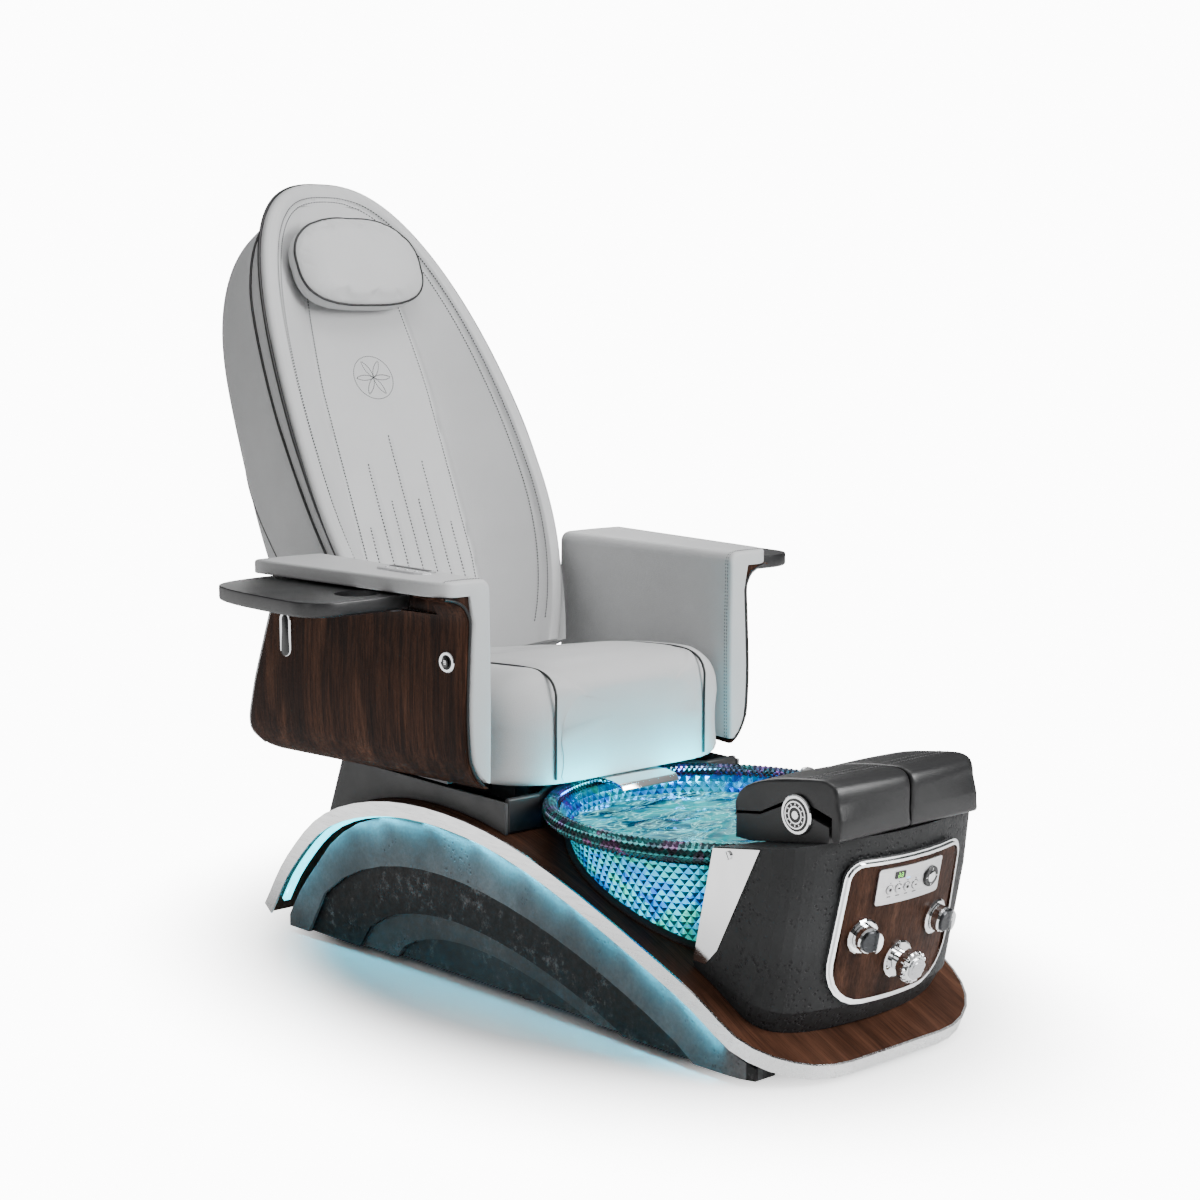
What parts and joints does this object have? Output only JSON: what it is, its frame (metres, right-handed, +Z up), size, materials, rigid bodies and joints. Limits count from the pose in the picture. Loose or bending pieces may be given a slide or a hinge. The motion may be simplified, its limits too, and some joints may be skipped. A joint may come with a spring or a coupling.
{
  "type": "pedicure chair",
  "caption": "Pedicure chair: arched base, faceted glass foot bowl, control console with flip-up footrest pads, and a sliding, reclining padded seat with swing-out arm trays.",
  "frame": {"origin": "centre of the middle foot's underside, on the floor", "axes": "+X to the sitter's left, -Y the way the sitter faces, +Z up"},
  "size_m": [1.1978, 1.7905, 1.4992],
  "materials": {
    "grey_leather": "light grey upholstery leather, fine grain, semi-matte",
    "black_leather": "black upholstery leather, satin",
    "walnut": "dark walnut veneer, satin lacquer",
    "concrete": "dark pitted cast finish, satin sealed",
    "grey_cowl": "matte grey moulding",
    "black_plastic": "black moulded, satin gloss",
    "black_rubber": "black rubber, matte",
    "chrome": "polished chrome",
    "brushed_metal": "fine brushed metal",
    "silver": "silver satin panel",
    "frame_steel": "dark powder coat",
    "light_strip": "translucent cyan light strip",
    "blue_glass": "iridescent faceted glass"
  },
  "bodies": {
    "base": {"base_frame": "frame_steel", "side_panel_left": "concrete", "side_panel_right": "concrete", "deck": "walnut", "deck_band": "brushed_metal", "light_strip_left": "light_strip", "light_strip_right": "light_strip", "pedestal_cowl": "grey_cowl", "pedestal_front": "black_plastic", "pedestal_frame": "frame_steel", "bowl": "blue_glass", "bowl_gasket": "black_rubber", "bowl_drain": "chrome", "waterfall_spout": "chrome", "console_body": "concrete", "console_skirt": "black_plastic", "side_plate_left": "chrome", "side_plate_right": "chrome", "control_board": "walnut", "board_frame": "chrome", "keypad_panel": "silver", "jet_ring": "black_plastic", "hot_valve": "chrome", "cold_valve": "chrome", "diverter_valve": "chrome", "footrest_bracket": "black_plastic", "footrest_cap_left": "chrome", "footrest_cap_right": "chrome", "footrest_hinge_pin": "frame_steel", "spray_holder": "chrome"},
    "key_1": {"keypad_button_1": "silver"},
    "key_2": {"keypad_button_2": "silver"},
    "key_3": {"keypad_button_3": "silver"},
    "key_4": {"keypad_button_4": "silver"},
    "jet_key": {"jet_button": "chrome"},
    "hot_handle": {"hot_knob": "chrome"},
    "cold_handle": {"cold_knob": "chrome"},
    "diverter_handle": {"diverter_knob": "chrome"},
    "foot_flap_left": {"footrest_pad_left": "black_leather"},
    "foot_flap_right": {"footrest_pad_right": "black_leather"},
    "spray": {"hand_spray": "chrome"},
    "carriage": {"seat_frame": "frame_steel", "recline_motor": "black_plastic", "seat_cushion": "grey_leather", "arm_pad_left": "grey_leather", "arm_pad_right": "grey_leather", "arm_panel_left": "walnut", "arm_panel_right": "walnut", "tray_pivot_left": "frame_steel", "tray_pivot_right": "frame_steel", "arm_button_ring": "chrome", "slot_bezel": "chrome", "arm_control": "silver"},
    "tray_arm_left": {"tray_left": "black_plastic"},
    "tray_arm_right": {"tray_right": "black_plastic"},
    "arm_key": {"arm_button": "black_plastic"},
    "back": {"back_board": "frame_steel", "back_shell": "grey_leather", "back_cushion": "grey_leather", "pillow": "grey_leather"}
  },
  "joints": [
    {"name": "seat_slide", "type": "slide", "parent": "base", "child": "carriage", "axis": [0, 1, 0], "range_m": [-0.05, 0.07]},
    {"name": "back_recline", "type": "hinge", "parent": "carriage", "child": "back", "pos_m": [0, 0.20319, 0.46144], "axis": [-1, 0, 0], "range_deg": [0, 20]},
    {"name": "tray_swing_left", "type": "hinge", "parent": "carriage", "child": "tray_arm_left", "pos_m": [0.395, -0.205, 0.735], "axis": [0, 0, -1], "range_deg": [0, 55]},
    {"name": "tray_swing_right", "type": "hinge", "parent": "carriage", "child": "tray_arm_right", "pos_m": [-0.395, -0.205, 0.735], "axis": [0, 0, 1], "range_deg": [0, 55]},
    {"name": "arm_key_press", "type": "slide", "parent": "carriage", "child": "arm_key", "axis": [0.9883, 0.1522, 0], "range_m": [0, 0.0015], "stiffness_N_per_m": 300},
    {"name": "key_1_press", "type": "slide", "parent": "base", "child": "key_1", "axis": [0.0914, 0.9783, 0.1859], "range_m": [0, 0.0015], "stiffness_N_per_m": 300},
    {"name": "key_2_press", "type": "slide", "parent": "base", "child": "key_2", "axis": [0.0553, 0.9809, 0.1864], "range_m": [0, 0.0015], "stiffness_N_per_m": 300},
    {"name": "key_3_press", "type": "slide", "parent": "base", "child": "key_3", "axis": [0.0185, 0.9823, 0.1866], "range_m": [0, 0.0015], "stiffness_N_per_m": 300},
    {"name": "key_4_press", "type": "slide", "parent": "base", "child": "key_4", "axis": [-0.0185, 0.9823, 0.1866], "range_m": [0, 0.0015], "stiffness_N_per_m": 300},
    {"name": "jet_key_press", "type": "slide", "parent": "base", "child": "jet_key", "axis": [-0.0914, 0.9783, 0.1859], "range_m": [0, 0.0015], "stiffness_N_per_m": 300},
    {"name": "hot_turn", "type": "hinge", "parent": "base", "child": "hot_handle", "pos_m": [-0.0866, -1.04518, 0.24034], "axis": [-0.1652, -0.9689, -0.1841], "range_deg": [0, 90]},
    {"name": "cold_turn", "type": "hinge", "parent": "base", "child": "cold_handle", "pos_m": [0.0866, -1.04518, 0.24034], "axis": [0.1652, -0.9689, -0.1841], "range_deg": [0, 90]},
    {"name": "diverter_turn", "type": "hinge", "parent": "base", "child": "diverter_handle", "pos_m": [0, -1.042, 0.185], "axis": [0, -0.9824, -0.1867], "range_deg": [-90, 90]},
    {"name": "foot_flap_left_flip", "type": "hinge", "parent": "base", "child": "foot_flap_left", "pos_m": [0.09, -1.0655, 0.4155], "axis": [1, 0, 0], "range_deg": [0, 70]},
    {"name": "foot_flap_right_flip", "type": "hinge", "parent": "base", "child": "foot_flap_right", "pos_m": [-0.09, -1.0655, 0.4155], "axis": [1, 0, 0], "range_deg": [0, 70]},
    {"name": "spray_lift", "type": "slide", "parent": "base", "child": "spray", "axis": [0, 0, 1], "range_m": [0, 0.1]}
  ]
}
